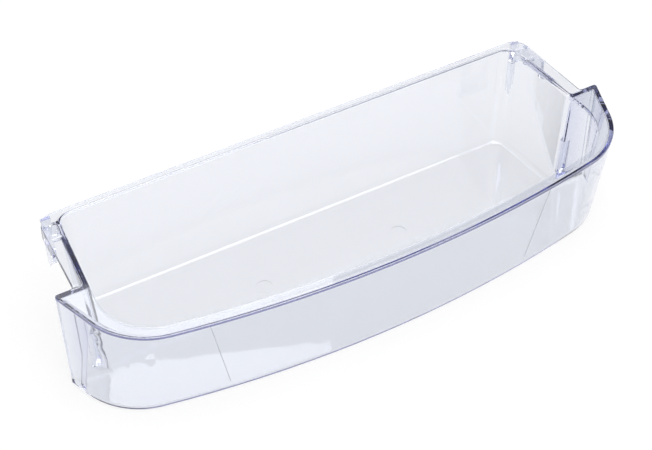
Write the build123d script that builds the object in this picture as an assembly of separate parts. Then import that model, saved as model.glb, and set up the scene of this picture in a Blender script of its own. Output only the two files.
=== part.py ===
from build123d import *

import math
import os

# Clear moulded shelf for a refrigerator door, a tub in one piece.
# A narrow back part goes between the ribs of the door liner, and a wider front part with a bowed
# wall stands out in front of them. A flat rim runs round the top, outwards on the narrow part and
# inwards on the wide one, and a hook hangs from it at each back corner.
# X runs along the door, Y to the back and Z up. The origin is under the middle of the shelf.

# Overall size, over the edges of the rim before they are rounded
length = 489.0
depth = 178.0
height = 100.0

# Thickness of the moulding
wall = 3.0
floor = 3.0
rim = 3.0

# Plan at the rim: the narrow back part, measured to its walls
step_out = 24.0
side_lean_in = 9.0
back_corner = 15.0

# Plan at the rim: the wide front part
wide_depth = 95.5
front_radius = 1010.0
front_corner = 60.0
end_lean = 18.5
step_corner = 2.0
step_root = 5.0

# Draft: how far each wall stands in at the bottom
back_inset = 6.0
side_inset = 8.0
step_inset = 2.0
end_inset = 2.0
front_inset = 18.0

# Rim: how far it stands out of the narrow part's walls, and how wide it is inside the front
back_rim = 3.5
side_rim_step = 9.0
side_rim_back = 12.0
rim_back_corner = 14.0
rim_step_root = 3.0
front_rim = 10.2
opening_corner = 46.0

# Rounds
bottom_round = 6.0
rim_root = 2.0
rim_edge = 0.8
mouth_bevel = 0.6

# Guide rib on the back of each step
guide_gap = 1.0
guide_width = 6.5
guide_inset = 4.5
guide_proud = 3.0
guide_drop = 52.0
guide_foot = 12.0

# Hook under the rim at each back corner: a wedge plate along the side, closed by two ribs
hook_setback = 9.5
hook_length = 26.0
hook_root = 5.0
hook_plate = 3.0
hook_drop = 14.0
pocket_length = 12.0
pocket_rib_drop = 6.0

# Short catch at the front of the hook, and the long finger behind it
catch_width = 5.0
catch_drop = 19.0
finger_setback = 1.5
finger_edge = 2.0
finger_width = 8.0
finger_tip = 2.0
finger_round = 0.9
finger_taper = 1.8
finger_thickness = 3.0
finger_drop = 51.0

# Round moulding marks in the floor
mark_diameter = 14.0
mark_depth = 0.3
mark_spacing = 128.0
mark_setback = 69.0

back_edge = depth / 2
front_edge = -depth / 2
step_line = front_edge + wide_depth
narrow_depth = depth - wide_depth
half_step = length / 2 - step_out
half_back = half_step - side_lean_in
rim_under = height - rim
lean = math.radians(end_lean)
half_end = length / 2 + step_corner * (math.tan(lean) + 1 / math.cos(lean) - 1)
half_front = half_end - wide_depth * math.tan(lean)
half_rim_step = half_step + side_rim_step
half_rim_back = half_back + side_rim_back
side_taper = side_lean_in / (narrow_depth - back_rim)

STANDING = (Align.CENTER, Align.CENTER, Align.MIN)


def polygon(*points):
    """Flat face with straight sides."""
    return make_face(Polyline(*points, close=True))


def raised(face, base, rise):
    """Upright prism of a plan."""
    return Pos(0, 0, base) * extrude(face, rise, dir=(0, 0, 1))


def corners(shape, x, y):
    """The corners of a plan nearest to a point and to its mirror image."""
    ranked = sorted(shape.vertices(), key=lambda v: math.hypot(abs(v.X) - x, v.Y - y))
    return ranked[:2]


def walled(body, x, y, across, along, inset, skin):
    """A body cut by a drafted wall that passes a place at the rim and faces a way in plan."""
    facing = Vector(across, along).normalized()
    place = Vector(x, y, height) - facing * skin
    wall_plane = Plane(origin=place, z_dir=(facing.X * height, facing.Y * height, -inset))
    return split(body, bisect_by=wall_plane, keep=Keep.BOTTOM)


def uprights(body, x, y):
    """The upright edges of a body that come nearest to a place at the rim and to its mirror image."""
    steep = [edge for edge in body.edges() if abs(edge.tangent_at(0.5).Z) > math.cos(math.pi / 4)]
    tops = [(edge.vertices().sort_by(Axis.Z)[-1], edge) for edge in steep]
    tops.sort(key=lambda pair: math.hypot(abs(pair[0].X) - x, pair[0].Y - y))
    return [edge for top, edge in tops[:2]]


def layer(base, top):
    """Everything between two levels."""
    return raised(Rectangle(2 * length, 2 * depth), base, top - base)


def wide_part(skin):
    """Drafted body of the front part, a skin inside its outer faces, with round front corners."""
    radius = front_radius - skin
    body = Pos(0, front_edge + front_radius) * Cone(radius - front_inset, radius, height, align=STANDING)
    body = walled(body, 0, step_line, 0, 1, step_inset, skin)
    for side in (-1, 1):
        body = walled(body, side * half_end, step_line, side * math.cos(lean), -math.sin(lean),
                      end_inset, skin)
    return fillet(uprights(body, half_front, front_edge), front_corner - skin)


def narrow_part(skin):
    """Drafted body of the back part, a skin inside its outer faces, with round back corners."""
    plan = Rectangle(length, narrow_depth + step_out, align=(Align.CENTER, Align.MAX))
    body = Pos(0, back_edge) * raised(plan, 0, height)
    body = walled(body, 0, back_edge - back_rim, 0, 1, back_inset, skin)
    for side in (-1, 1):
        body = walled(body, side * half_step, step_line, side, side_taper, side_inset, skin)
    return fillet(uprights(body, half_back, back_edge), back_corner - skin)


def tub(skin, base):
    """Both parts in one, from a base up to the rim."""
    return (wide_part(skin) + narrow_part(skin)) & layer(base, height)


def round_bottom(body, radius):
    """A body with its lower edge rounded."""
    return fillet(body.faces().sort_by(Axis.Z)[0].edges(), radius)


def flange_plan():
    """Outer edge of the flange round the narrow part, run on into the wide part's walls."""
    front = step_line - wall
    outline = polygon((-half_rim_back, back_edge), (half_rim_back, back_edge),
                      (side_edge(front), front), (-side_edge(front), front))
    return fillet(corners(outline, half_rim_back, back_edge), rim_back_corner)


def outside():
    """The outer form: the tub, and the flange that stands out round its narrow part."""
    plain = tub(0.0, 0.0)
    body = round_bottom(plain, bottom_round)
    body -= plain - fillet(uprights(plain, half_end, step_line), step_corner)
    body = fillet(uprights(body, half_step, step_line), step_root)
    body += raised(flange_plan(), rim_under, rim)
    body = fillet(uprights(body, half_rim_step, step_line), rim_step_root)
    walls = [face for face in body.faces() if face.bounding_box().min.Z < rim_under - bottom_round]
    underside = sorted(body.faces().filter_by(Axis.Z), key=lambda face: abs(face.center().Z - rim_under))[0]
    roots = [edge for edge in underside.edges() if any(edge in face.edges() for face in walls)]
    body = fillet(roots, rim_root)
    return fillet(body.faces().sort_by(Axis.Z)[-1].outer_wire().edges(), rim_edge)


def opening():
    """The way in from above: the narrow part's width, run on to the front of the rim's opening."""
    front = front_edge + front_rim
    radius = front_radius - front_rim
    way = raised(Rectangle(length, 2 * depth), 0.0, height)
    for side in (-1, 1):
        way = walled(way, side * half_step, step_line, side, side_taper, side_inset, wall)
    way &= Pos(0, front + radius) * Cylinder(radius, height, align=STANDING)
    half = half_step - wall + side_taper * (step_line - front)
    return fillet(uprights(way, half, front), opening_corner)


def side_edge(y):
    """Half width of the narrow part's rim at a place along its side."""
    widening = side_lean_in + side_rim_step - side_rim_back
    return half_back + side_rim_back + widening / narrow_depth * (back_edge - y)


def rib_root(y):
    """Half width well inside the side wall, from where a rib starts that the space then cuts short."""
    return side_edge(y) - side_rim_back - back_corner


def hook_inside(y):
    """Half width to the inner face of the wedge plate, which thins to the front."""
    along = (back_edge - hook_setback - y) / hook_length
    return side_edge(y) - hook_root - (hook_plate - hook_root) * along


def hanging(inner, outer, back, front, drop):
    """Plate under the rim, between two half widths that vary along the side."""
    face = polygon((inner(back), back), (outer(back), back), (outer(front), front), (inner(front), front))
    return raised(face, height - drop, drop - rim / 2)


def hook():
    """Hook of the right-hand back corner, in overlapping pieces."""
    back = back_edge - hook_setback
    front = back - hook_length
    pocket_end = back - hook_plate - pocket_length
    wedge = hanging(hook_inside, side_edge, back, front, hook_drop)
    back_rib = hanging(rib_root, side_edge, back, back - hook_plate, hook_drop)
    front_rib = hanging(rib_root, side_edge, pocket_end, pocket_end - hook_plate, pocket_rib_drop)
    catch = hanging(hook_inside, side_edge, front + catch_width, front, catch_drop)
    return [wedge, back_rib, front_rib, catch, finger()]


def finger():
    """Long tapered finger that hangs behind the hook, with a rounded tip."""
    outside = side_edge(back_edge) - finger_edge
    tip = outside - finger_taper
    face = polygon((outside - finger_width, height - rim / 2), (outside, height - rim / 2),
                   (tip, height - finger_drop), (tip - finger_tip, height - finger_drop))
    face = fillet(face.vertices().sort_by(Axis.Y)[:2], finger_round)
    place = Plane.XZ.offset(finger_setback - back_edge)
    return extrude(place * face, finger_thickness)


def guide():
    """Rib on the back of the right-hand step, which stands in towards the bottom as the wall does."""
    top = height - guide_drop
    inner = half_step + guide_gap
    head = guide_inset * (1 - top / height)
    foot = guide_inset * (1 - guide_foot / height)
    face = polygon((inner - head, top), (inner + guide_width - head, top),
                   (inner + guide_width - foot, guide_foot), (inner - foot, guide_foot))
    place = Plane.XZ.offset(-step_line - guide_proud)
    return extrude(place * face, guide_proud + wall)


def inside():
    """The space in the shelf: rounded under the rim, and open at the mouth."""
    whole = round_bottom(tub(wall, floor), bottom_round - wall)
    below = round_bottom(wide_part(wall) & layer(floor, rim_under), bottom_round - wall)
    below = fillet(below.faces().sort_by(Axis.Z)[-1].edges(), rim_root)
    return below + (whole & opening())


def door_shelf():
    """The whole shelf in one solid."""
    shelf = outside()
    for piece in hook() + [guide()]:
        shelf += piece
        shelf += mirror(piece, about=Plane.YZ)
    shelf -= inside()
    for side in (-1, 1):
        mark = Pos(side * mark_spacing / 2, back_edge - mark_setback) * Circle(mark_diameter / 2)
        shelf -= raised(mark, floor - mark_depth, 2 * mark_depth)
    mouth = shelf.faces().sort_by(Axis.Z)[-1].inner_wires()[0]
    return chamfer(mouth.edges(), mouth_bevel)


os.makedirs("parts", exist_ok=True)
export_step(door_shelf(), "parts/door_shelf.step")
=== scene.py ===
import math

import bmesh
import bpy
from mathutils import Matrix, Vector


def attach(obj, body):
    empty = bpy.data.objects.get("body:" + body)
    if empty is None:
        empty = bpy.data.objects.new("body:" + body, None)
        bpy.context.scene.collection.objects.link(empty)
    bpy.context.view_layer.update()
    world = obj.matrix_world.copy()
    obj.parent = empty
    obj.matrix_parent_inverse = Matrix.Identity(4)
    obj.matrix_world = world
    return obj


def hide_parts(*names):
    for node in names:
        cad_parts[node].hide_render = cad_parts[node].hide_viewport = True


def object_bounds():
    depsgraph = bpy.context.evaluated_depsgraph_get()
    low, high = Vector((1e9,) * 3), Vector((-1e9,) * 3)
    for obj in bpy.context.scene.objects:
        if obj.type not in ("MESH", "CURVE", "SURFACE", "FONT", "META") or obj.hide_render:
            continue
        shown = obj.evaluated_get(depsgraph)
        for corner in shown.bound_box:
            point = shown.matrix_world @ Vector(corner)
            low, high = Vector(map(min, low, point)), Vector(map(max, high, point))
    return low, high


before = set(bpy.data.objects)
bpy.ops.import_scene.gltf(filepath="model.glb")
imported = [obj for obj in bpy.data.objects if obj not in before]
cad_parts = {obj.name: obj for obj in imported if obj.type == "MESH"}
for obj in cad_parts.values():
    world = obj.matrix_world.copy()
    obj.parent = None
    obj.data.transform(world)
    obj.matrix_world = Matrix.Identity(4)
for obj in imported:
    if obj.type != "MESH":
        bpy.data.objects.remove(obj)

bl_info = {
    "name": "Refrigerator door shelf",
    "version": (1, 0, 0),
    "blender": (4, 5, 0),
    "location": "View3D > Sidebar > Door shelf",
    "description": "Finishes a clear moulded door shelf and stands it in a plain white studio",
    "category": "Object",
}

# The frame: the moulding's node, the body that everything rides on, and the box of the solid
NODE = "door_shelf"
BODY = "root"
SOLID_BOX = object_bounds()
LOWEST, HIGHEST = SOLID_BOX

MM = 0.001

# Front of the rim, before its edge is rounded
FRONT_EDGE = -89 * MM

# Cleaning of the solid's mesh: points this near are one point, faces this nearly in one plane are
# one face, and an edge that turns by more than this stays sharp
SAME_POINT = 0.002 * MM
SAME_PLANE = math.radians(0.2)
SHARP_TURN = math.radians(30)

# The rim's painted edge shade, a navy tint that stands in for light guided down the clear wall:
# how softly it ends below, how much a face may look up or down where the shade starts and where
# it is full, and how far a face has to look away from the middle
EDGE_SHADE_FADE = 0.3 * MM
EDGE_SHADE_SLOPES = (0.6, 0.3)
EDGE_SHADE_OUTWARD = (0.0, 1 * MM)

# Levels of the noise between which the plastic goes from clean to dulled
DULLING = (0.45, 0.75)

# Sides of the round bead that makes a mould line
BEAD_SIDES = 8

# The floor: half its width, the gap that keeps it clear of the plastic, and the share of light
# that its paper gives back
FLOOR_HALF = 6.0
FLOOR_GAP = 0.3 * MM
PAPER_SHARE = 0.8

# How far to the right a direction points where the room starts to dim, and where it is dimmest
ROOM_TURN = (0.1, 0.6)

# Lamps: where they stand, and their width and depth in metres. The one behind points at the left
# part of the front flange.
OVERHEAD_PLACE = (0.1, -0.55, 1.3)
OVERHEAD_SIZE = (1.6, 2.0)
BEHIND_PLACE = (0.2, 0.84, 1.2)
BEHIND_SIZE = (0.5, 0.2)
FRONT_FLANGE = (-0.15, -0.08, 0.1)

# Width of the camera's sensor in millimetres, to which its lens belongs
SENSOR_WIDTH = 36.0

# Light goes to and fro in a clear wall many times before it comes out at an edge
BOUNCES = 96


def linear(code):
    """Linear red, green and blue of an sRGB hex colour."""
    shares = [int(code[place:place + 2], 16) / 255 for place in (1, 3, 5)]
    return [s / 12.92 if s <= 0.04045 else ((s + 0.055) / 1.055) ** 2.4 for s in shares]


def add_node(tree, kind, values=None, links=None, **settings):
    """Add a node to a tree, with its settings, the values of its inputs and the links into them."""
    made = tree.nodes.new(kind)
    for name, value in settings.items():
        setattr(made, name, value)
    for socket, value in (values or {}).items():
        made.inputs[socket].default_value = value
    for socket, source in (links or {}).items():
        tree.links.new(source, made.inputs[socket])
    return made


class ShelfFinish(bpy.types.PropertyGroup):
    """How the moulding looks."""

    passed: bpy.props.FloatVectorProperty(
        name="Passed colour", description="Colour that goes a long way through the plastic",
        subtype="COLOR", min=0, max=1, default=linear("#6C78C8"))
    depth: bpy.props.FloatProperty(
        name="Depth of colour",
        description="How strongly each metre of plastic takes out the other colours",
        min=0, default=10.0)
    skin: bpy.props.FloatVectorProperty(
        name="Skin colour", description="Tint that the light takes as it goes in and out of a wall",
        subtype="COLOR", min=0, max=1, default=linear("#F1F3F7"))
    # Painted shade: the edge colour is a navy painted on the rim's outer edge, standing in for light
    # guided down the wall
    edge: bpy.props.FloatVectorProperty(
        name="Edge colour",
        description="Tint that the light takes as it goes in and out of the rim's outer edge",
        subtype="COLOR", min=0, max=1, default=linear("#45457A"))
    edge_shade_depth: bpy.props.FloatProperty(
        name="Edge depth", description="How far down from the top the rim's edge goes",
        unit="LENGTH", default=3 * MM)
    polish: bpy.props.FloatProperty(
        name="Polish", description="Roughness of the cleanest places",
        subtype="FACTOR", min=0, max=1, default=0.008)
    handled: bpy.props.FloatProperty(
        name="Handled", description="Roughness of the places that hands have dulled",
        subtype="FACTOR", min=0, max=1, default=0.03)
    flow: bpy.props.FloatProperty(
        name="Flow marks", description="Width of the faint waves that the moulding leaves",
        unit="LENGTH", default=45 * MM)
    flow_height: bpy.props.FloatProperty(
        name="Flow height", description="Height of the faint waves",
        unit="LENGTH", default=0.03 * MM)
    smear: bpy.props.FloatProperty(
        name="Smears", description="Width of the dulled patches", unit="LENGTH", default=18 * MM)
    index: bpy.props.FloatProperty(
        name="Refractive index", description="Index of refraction of polystyrene",
        min=1, default=1.59)


class ShelfLines(bpy.types.PropertyGroup):
    """The fine raised lines that the joints of the mould leave down the front wall."""

    bow: bpy.props.FloatProperty(
        name="Bow", description="Radius of the front wall at the rim",
        unit="LENGTH", default=1010 * MM)
    draft: bpy.props.FloatProperty(
        name="Draft", description="How far the front wall stands in at the bottom",
        unit="LENGTH", default=18 * MM)
    left: bpy.props.FloatVectorProperty(
        name="Left line", description="Place along the shelf of its upper and lower end",
        size=2, unit="LENGTH", default=(-157.5 * MM, -138.3 * MM))
    right: bpy.props.FloatVectorProperty(
        name="Right line", description="Place along the shelf of its upper and lower end",
        size=2, unit="LENGTH", default=(140.3 * MM, 133.0 * MM))
    ends: bpy.props.FloatVectorProperty(
        name="Ends", description="Heights of the upper and lower end",
        size=2, unit="LENGTH", default=(97 * MM, 14 * MM))
    width: bpy.props.FloatProperty(
        name="Width", description="Width of a line, drawn coarser than the real one so that it shows",
        unit="LENGTH", default=0.45 * MM)
    colour: bpy.props.FloatVectorProperty(
        name="Line colour", description="Colour of the frosted plastic",
        subtype="COLOR", min=0, max=1, default=linear("#C9CCD6"))
    clearness: bpy.props.FloatProperty(
        name="Clearness", description="Share of the light that goes through the frosted plastic",
        subtype="FACTOR", min=0, max=1, default=0.6)
    grain: bpy.props.FloatProperty(
        name="Grain", description="Width of the smoother and rougher places along a line",
        unit="LENGTH", default=2 * MM)
    smooth: bpy.props.FloatProperty(
        name="Smooth places", description="Roughness of the smoother places of a line",
        subtype="FACTOR", min=0, max=1, default=0.25)
    rough: bpy.props.FloatProperty(
        name="Rough places", description="Roughness of the rougher places of a line",
        subtype="FACTOR", min=0, max=1, default=0.5)


class ShelfStage(bpy.types.PropertyGroup):
    """Where the shelf is seen from, and in what light."""

    azimuth: bpy.props.FloatProperty(
        name="Azimuth", description="How far round to the left of the front the camera stands",
        subtype="ANGLE", default=math.radians(29.74))
    elevation: bpy.props.FloatProperty(
        name="Elevation", description="How far the camera looks down",
        subtype="ANGLE", default=math.radians(44.41))
    distance: bpy.props.FloatProperty(
        name="Distance", description="From the camera to the point it looks at",
        unit="LENGTH", default=1.419)
    aim: bpy.props.FloatVectorProperty(
        name="Aim", description="Point that the camera looks at",
        subtype="XYZ", unit="LENGTH", default=(-0.0086, 0.0159, 0.05))
    lens: bpy.props.FloatProperty(
        name="Lens", description="Focal length of the camera in millimetres",
        unit="CAMERA", default=97.14)
    backdrop: bpy.props.FloatVectorProperty(
        name="Backdrop", description="Colour of the floor, which is the background too",
        subtype="COLOR", min=0, max=1, default=linear("#FFFFFF"))
    evenness: bpy.props.FloatProperty(
        name="Even white", description="Share of the floor's white that no shadow darkens",
        subtype="FACTOR", min=0, max=1, default=0.82)
    near_side: bpy.props.FloatProperty(
        name="Left of the room", description="How bright the room is on the left",
        min=0, default=0.9)
    far_side: bpy.props.FloatProperty(
        name="Right of the room", description="How bright the room is on the right",
        min=0, default=0.5)
    overhead: bpy.props.FloatProperty(
        name="Overhead lamp", description="Brightness of the large soft lamp over the shelf",
        min=0, default=2.4)
    behind: bpy.props.FloatProperty(
        name="Lamp behind",
        description="Brightness of the small lamp whose reflection lightens the front flange",
        min=0, default=1.9)


def rim_painted_shade_share(tree, place, finish):
    """Share of the painted navy edge shade: 1 on the upright faces round the outer edge of the rim,
    and 0 elsewhere.
    """
    spot = add_node(tree, "ShaderNodeSeparateXYZ", links={"Vector": place.outputs["Object"]})
    facing = add_node(tree, "ShaderNodeSeparateXYZ", links={"Vector": place.outputs["Normal"]})
    slope = add_node(tree, "ShaderNodeMath", links={0: facing.outputs["Z"]}, operation="ABSOLUTE")
    outward = add_node(tree, "ShaderNodeVectorMath", links={
        0: place.outputs["Object"], 1: place.outputs["Normal"]}, operation="DOT_PRODUCT")
    low = HIGHEST.z - finish.edge_shade_depth
    high, upright, outer = [
        add_node(tree, "ShaderNodeMapRange", {"From Min": start, "From Max": end}, {"Value": value},
                 interpolation_type="SMOOTHSTEP").outputs["Result"]
        for value, (start, end) in (
            (spot.outputs["Z"], (low - EDGE_SHADE_FADE, low + EDGE_SHADE_FADE)),
            (slope.outputs["Value"], EDGE_SHADE_SLOPES),
            (outward.outputs["Value"], EDGE_SHADE_OUTWARD))]
    edge = add_node(tree, "ShaderNodeMath", links={0: high, 1: upright}, operation="MULTIPLY")
    return add_node(tree, "ShaderNodeMath", links={0: edge.outputs["Value"], 1: outer},
                    operation="MULTIPLY").outputs["Value"]


def clear_polystyrene(finish):
    """Clear polystyrene, injection moulded in a polished mould.

    It is bright and sharp to look through and faintly violet, and turns navy where light has gone
    a long way inside it. On the rim's outer edge a navy shade is painted into its colour besides,
    which stands in for light guided down the wall.
    """
    material = bpy.data.materials.new("clear_polystyrene")
    material.use_nodes = True
    tree = material.node_tree
    tree.nodes.clear()
    place = add_node(tree, "ShaderNodeTexCoord")
    # Painted shade: the base colour turns navy on the rim's outer edge
    colour = add_node(tree, "ShaderNodeMix", {"A": (*finish.skin, 1), "B": (*finish.edge, 1)},
                      {"Factor": rim_painted_shade_share(tree, place, finish)}, data_type="RGBA")
    patches = add_node(tree, "ShaderNodeTexNoise", {"Scale": 1 / finish.smear, "Detail": 4.0},
                       {"Vector": place.outputs["Object"]})
    dull = add_node(tree, "ShaderNodeMapRange", {
        "From Min": DULLING[0], "From Max": DULLING[1],
        "To Min": finish.polish, "To Max": finish.handled}, {"Value": patches.outputs["Fac"]})
    waves = add_node(tree, "ShaderNodeTexNoise", {"Scale": 1 / finish.flow, "Detail": 1.0},
                     {"Vector": place.outputs["Object"]})
    surface = add_node(tree, "ShaderNodeBump", {"Strength": 1.0, "Distance": finish.flow_height},
                       {"Height": waves.outputs["Fac"]})
    plastic = add_node(tree, "ShaderNodeBsdfPrincipled", {
        "IOR": finish.index, "Transmission Weight": 1.0}, {
        "Base Color": colour.outputs["Result"], "Roughness": dull.outputs["Result"],
        "Normal": surface.outputs["Normal"]})
    tint = add_node(tree, "ShaderNodeVolumeAbsorption", {
        "Color": (*finish.passed, 1), "Density": finish.depth})
    add_node(tree, "ShaderNodeOutputMaterial", links={
        "Surface": plastic.outputs["BSDF"], "Volume": tint.outputs["Volume"]})
    return material


def merged_copy(name, source):
    """Object with a copy of a CAD mesh, its loose triangles joined and its rounds smooth."""
    mesh = source.data.copy()
    mesh.name = name
    shape = bmesh.new()
    shape.from_mesh(mesh)
    bmesh.ops.remove_doubles(shape, verts=shape.verts, dist=SAME_POINT)
    bmesh.ops.dissolve_limit(shape, angle_limit=SAME_PLANE, verts=shape.verts, edges=shape.edges)
    shape.to_mesh(mesh)
    shape.free()
    mesh.materials.clear()
    mesh.shade_smooth()
    mesh.set_sharp_from_angle(angle=SHARP_TURN)
    made = bpy.data.objects.new(name, mesh)
    bpy.context.scene.collection.objects.link(made)
    weigh = made.modifiers.new("weigh", "WEIGHTED_NORMAL")
    weigh.keep_sharp = True
    graph = bpy.context.evaluated_depsgraph_get()
    made.data = bpy.data.meshes.new_from_object(made.evaluated_get(graph))
    made.modifiers.clear()
    return made


class SHELF_OT_moulding(bpy.types.Operator):
    """Make the clear moulding from the solid"""

    bl_idname = "shelf.moulding"
    bl_label = "Moulding"

    def execute(self, context):
        moulding = merged_copy("shelf_moulding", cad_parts[NODE])
        moulding.data.materials.append(clear_polystyrene(context.scene.shelf_finish))
        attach(moulding, BODY)
        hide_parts(NODE)
        return {"FINISHED"}


def frosted_polystyrene(lines, index):
    """The same plastic where two parts of the mould met: a hair line that the polish missed.

    It is pale grey and dull to look at.
    """
    material = bpy.data.materials.new("frosted_polystyrene")
    material.use_nodes = True
    tree = material.node_tree
    tree.nodes.clear()
    place = add_node(tree, "ShaderNodeTexCoord")
    grain = add_node(tree, "ShaderNodeTexNoise", {"Scale": 1 / lines.grain, "Detail": 2.0},
                     {"Vector": place.outputs["Object"]})
    rough = add_node(tree, "ShaderNodeMapRange", {"To Min": lines.smooth, "To Max": lines.rough},
                     {"Value": grain.outputs["Fac"]})
    plastic = add_node(tree, "ShaderNodeBsdfPrincipled", {
        "Base Color": (*lines.colour, 1), "IOR": index, "Transmission Weight": lines.clearness},
        {"Roughness": rough.outputs["Result"]})
    add_node(tree, "ShaderNodeOutputMaterial", links={"Surface": plastic.outputs["BSDF"]})
    return material


def line_tree(material):
    """Geometry Nodes that lay a fine round bead between two places."""
    tree = bpy.data.node_groups.new("mould_line", "GeometryNodeTree")
    for name, kind in (("Top", "NodeSocketVector"), ("Bottom", "NodeSocketVector"),
                       ("Width", "NodeSocketFloat")):
        tree.interface.new_socket(name, in_out="INPUT", socket_type=kind)
    tree.interface.new_socket("Geometry", in_out="OUTPUT", socket_type="NodeSocketGeometry")
    given = add_node(tree, "NodeGroupInput")
    path = add_node(tree, "GeometryNodeCurvePrimitiveLine", links={
        "Start": given.outputs["Top"], "End": given.outputs["Bottom"]})
    half = add_node(tree, "ShaderNodeMath", {1: 0.5}, {0: given.outputs["Width"]},
                    operation="MULTIPLY")
    section = add_node(tree, "GeometryNodeCurvePrimitiveCircle", {"Resolution": BEAD_SIDES},
                       {"Radius": half.outputs["Value"]})
    bead = add_node(tree, "GeometryNodeCurveToMesh", {"Fill Caps": True}, {
        "Curve": path.outputs["Curve"], "Profile Curve": section.outputs["Curve"]})
    whole = add_node(tree, "GeometryNodeRealizeInstances", links={"Geometry": bead.outputs["Mesh"]})
    dressed = add_node(tree, "GeometryNodeSetMaterial", {"Material": material},
                       {"Geometry": whole.outputs["Geometry"]})
    add_node(tree, "NodeGroupOutput", links={"Geometry": dressed.outputs["Geometry"]})
    return tree


def on_front_wall(lines, x, z):
    """Place on the outer face of the bowed and drafted front wall."""
    radius = lines.bow - lines.draft * (HIGHEST.z - z) / HIGHEST.z
    middle = FRONT_EDGE + lines.bow
    return x, middle - math.sqrt(radius ** 2 - x ** 2), z


class SHELF_OT_mould_lines(bpy.types.Operator):
    """Lay the mould lines down the front wall"""

    bl_idname = "shelf.mould_lines"
    bl_label = "Mould lines"

    def execute(self, context):
        lines = context.scene.shelf_lines
        tree = line_tree(frosted_polystyrene(lines, context.scene.shelf_finish.index))
        socket = {item.name: item.identifier for item in tree.interface.items_tree}
        for side, ends in (("left", lines.left), ("right", lines.right)):
            name = f"{side}_mould_line"
            made = bpy.data.objects.new(name, bpy.data.meshes.new(name))
            context.scene.collection.objects.link(made)
            bead = made.modifiers.new("bead", "NODES")
            bead.node_group = tree
            bead[socket["Top"]] = on_front_wall(lines, ends[0], lines.ends[0])
            bead[socket["Bottom"]] = on_front_wall(lines, ends[1], lines.ends[1])
            bead[socket["Width"]] = lines.width
            graph = context.evaluated_depsgraph_get()
            made.data = bpy.data.meshes.new_from_object(made.evaluated_get(graph))
            made.modifiers.clear()
            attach(made, BODY)
        return {"FINISHED"}


def make_camera(stage):
    """Camera at the angle from which the shelf is seen."""
    level = math.cos(stage.elevation)
    back = Vector((-math.sin(stage.azimuth) * level, -math.cos(stage.azimuth) * level,
                   math.sin(stage.elevation)))
    camera = bpy.data.objects.new("camera", bpy.data.cameras.new("camera"))
    camera.data.lens = stage.lens
    camera.data.sensor_width = SENSOR_WIDTH
    camera.location = Vector(stage.aim) + back * stage.distance
    camera.rotation_euler = (-back).to_track_quat("-Z", "Y").to_euler()
    bpy.context.scene.collection.objects.link(camera)
    bpy.context.scene.camera = camera


def seen_share(tree, share):
    """Share for what the camera sees, straight or in and through the plastic, and 0 for the rest."""
    path = add_node(tree, "ShaderNodeLightPath")
    either = add_node(tree, "ShaderNodeMath", links={
        0: path.outputs["Is Camera Ray"], 1: path.outputs["Is Glossy Ray"]}, operation="MAXIMUM")
    any_of = add_node(tree, "ShaderNodeMath", links={
        0: either.outputs["Value"], 1: path.outputs["Is Transmission Ray"]}, operation="MAXIMUM")
    return add_node(tree, "ShaderNodeMath", {1: share}, {0: any_of.outputs["Value"]},
                    operation="MULTIPLY").outputs["Value"]


def studio_world(stage):
    """White room that is dimmer to the right of the shelf."""
    world = bpy.data.worlds.new("studio")
    bpy.context.scene.world = world
    world.use_nodes = True
    tree = world.node_tree
    tree.nodes.clear()
    way = add_node(tree, "ShaderNodeTexCoord")
    parts = add_node(tree, "ShaderNodeSeparateXYZ", links={"Vector": way.outputs["Generated"]})
    level = add_node(tree, "ShaderNodeMapRange", {
        "From Min": ROOM_TURN[0], "From Max": ROOM_TURN[1],
        "To Min": stage.near_side, "To Max": stage.far_side}, {"Value": parts.outputs["X"]},
        interpolation_type="SMOOTHSTEP")
    glow = add_node(tree, "ShaderNodeBackground", {"Color": (1, 1, 1, 1)},
                    {"Strength": level.outputs["Result"]})
    add_node(tree, "ShaderNodeOutputWorld", links={"Surface": glow.outputs["Background"]})


def soft_lamp(name, place, aim, size, bright):
    """Flat lamp with an even face of a given brightness, where 1 is the white of the floor."""
    width, depth = size
    lamp = bpy.data.lights.new(name, "AREA")
    lamp.shape = "RECTANGLE"
    lamp.size = width
    lamp.size_y = depth
    lamp.energy = bright * math.pi * width * depth
    made = bpy.data.objects.new(name, lamp)
    made.location = place
    made.rotation_euler = (Vector(aim) - Vector(place)).to_track_quat("-Z", "Y").to_euler()
    made.visible_camera = False
    bpy.context.scene.collection.objects.link(made)


def white_paper(stage):
    """White paper, which shows white to the camera and still takes a faint shadow."""
    material = bpy.data.materials.new("white_paper")
    material.use_nodes = True
    tree = material.node_tree
    tree.nodes.clear()
    paper = add_node(tree, "ShaderNodeBsdfDiffuse", {
        "Color": (*[PAPER_SHARE * share for share in stage.backdrop], 1)})
    glow = add_node(tree, "ShaderNodeEmission", {"Color": (*stage.backdrop, 1), "Strength": 1.0})
    sheet = add_node(tree, "ShaderNodeMixShader", links={
        0: seen_share(tree, stage.evenness), 1: paper.outputs["BSDF"], 2: glow.outputs["Emission"]})
    add_node(tree, "ShaderNodeOutputMaterial", links={"Surface": sheet.outputs["Shader"]})
    return material


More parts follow.
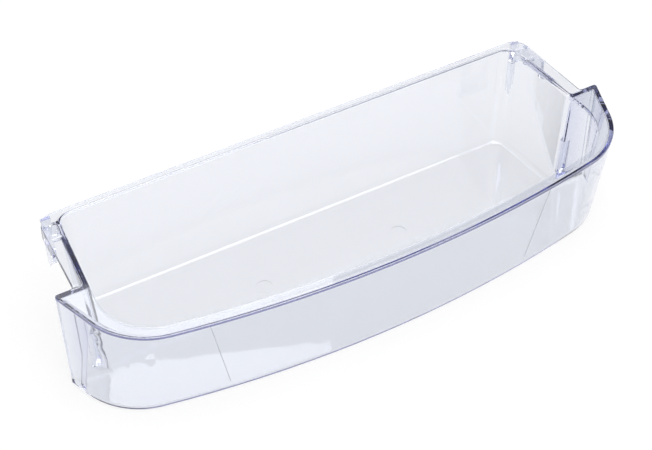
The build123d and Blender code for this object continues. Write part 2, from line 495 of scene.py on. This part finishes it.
def pale_floor(stage):
    """Wide sheet of white paper that the shelf stands on."""
    half = FLOOR_HALF
    low = LOWEST.z - FLOOR_GAP
    mesh = bpy.data.meshes.new("floor")
    mesh.from_pydata([(-half, -half, low), (half, -half, low), (half, half, low),
                      (-half, half, low)], [], [(0, 1, 2, 3)])
    mesh.materials.append(white_paper(stage))
    floor = bpy.data.objects.new("floor", mesh)
    bpy.context.scene.collection.objects.link(floor)


class SHELF_OT_stage(bpy.types.Operator):
    """Set up the floor, the light and the camera"""

    bl_idname = "shelf.stage"
    bl_label = "Stage"

    def execute(self, context):
        stage = context.scene.shelf_stage
        make_camera(stage)
        studio_world(stage)
        pale_floor(stage)
        soft_lamp("overhead_lamp", OVERHEAD_PLACE, stage.aim, OVERHEAD_SIZE, stage.overhead)
        soft_lamp("lamp_behind", BEHIND_PLACE, FRONT_FLANGE, BEHIND_SIZE, stage.behind)
        context.scene.view_settings.view_transform = "Standard"
        context.scene.cycles.max_bounces = BOUNCES
        context.scene.cycles.transmission_bounces = BOUNCES
        context.scene.cycles.glossy_bounces = BOUNCES
        return {"FINISHED"}


class VIEW3D_PT_shelf(bpy.types.Panel):
    """Sizes, colours and steps of the shelf"""

    bl_label = "Door shelf"
    bl_space_type = "VIEW_3D"
    bl_region_type = "UI"
    bl_category = "Door shelf"

    def draw(self, context):
        for setting in GROUPS:
            group = getattr(context.scene, setting)
            box = self.layout.box()
            for name in group.__annotations__:
                box.prop(group, name)
        for step in STEPS:
            self.layout.operator(step.bl_idname)


GROUPS = {"shelf_finish": ShelfFinish, "shelf_lines": ShelfLines, "shelf_stage": ShelfStage}
STEPS = (SHELF_OT_moulding, SHELF_OT_mould_lines, SHELF_OT_stage)


def register():
    """Add the classes and the settings that they read."""
    for made in (*GROUPS.values(), *STEPS, VIEW3D_PT_shelf):
        bpy.utils.register_class(made)
    for name, group in GROUPS.items():
        setattr(bpy.types.Scene, name, bpy.props.PointerProperty(type=group))


def unregister():
    """Take the settings and the classes out again."""
    for name in GROUPS:
        delattr(bpy.types.Scene, name)
    for made in (VIEW3D_PT_shelf, *reversed(STEPS), *reversed(GROUPS.values())):
        bpy.utils.unregister_class(made)


def main():
    """Make every piece and the stage."""
    register()
    bpy.ops.shelf.moulding()
    bpy.ops.shelf.mould_lines()
    bpy.ops.shelf.stage()


if __name__ == "__main__":
    main()
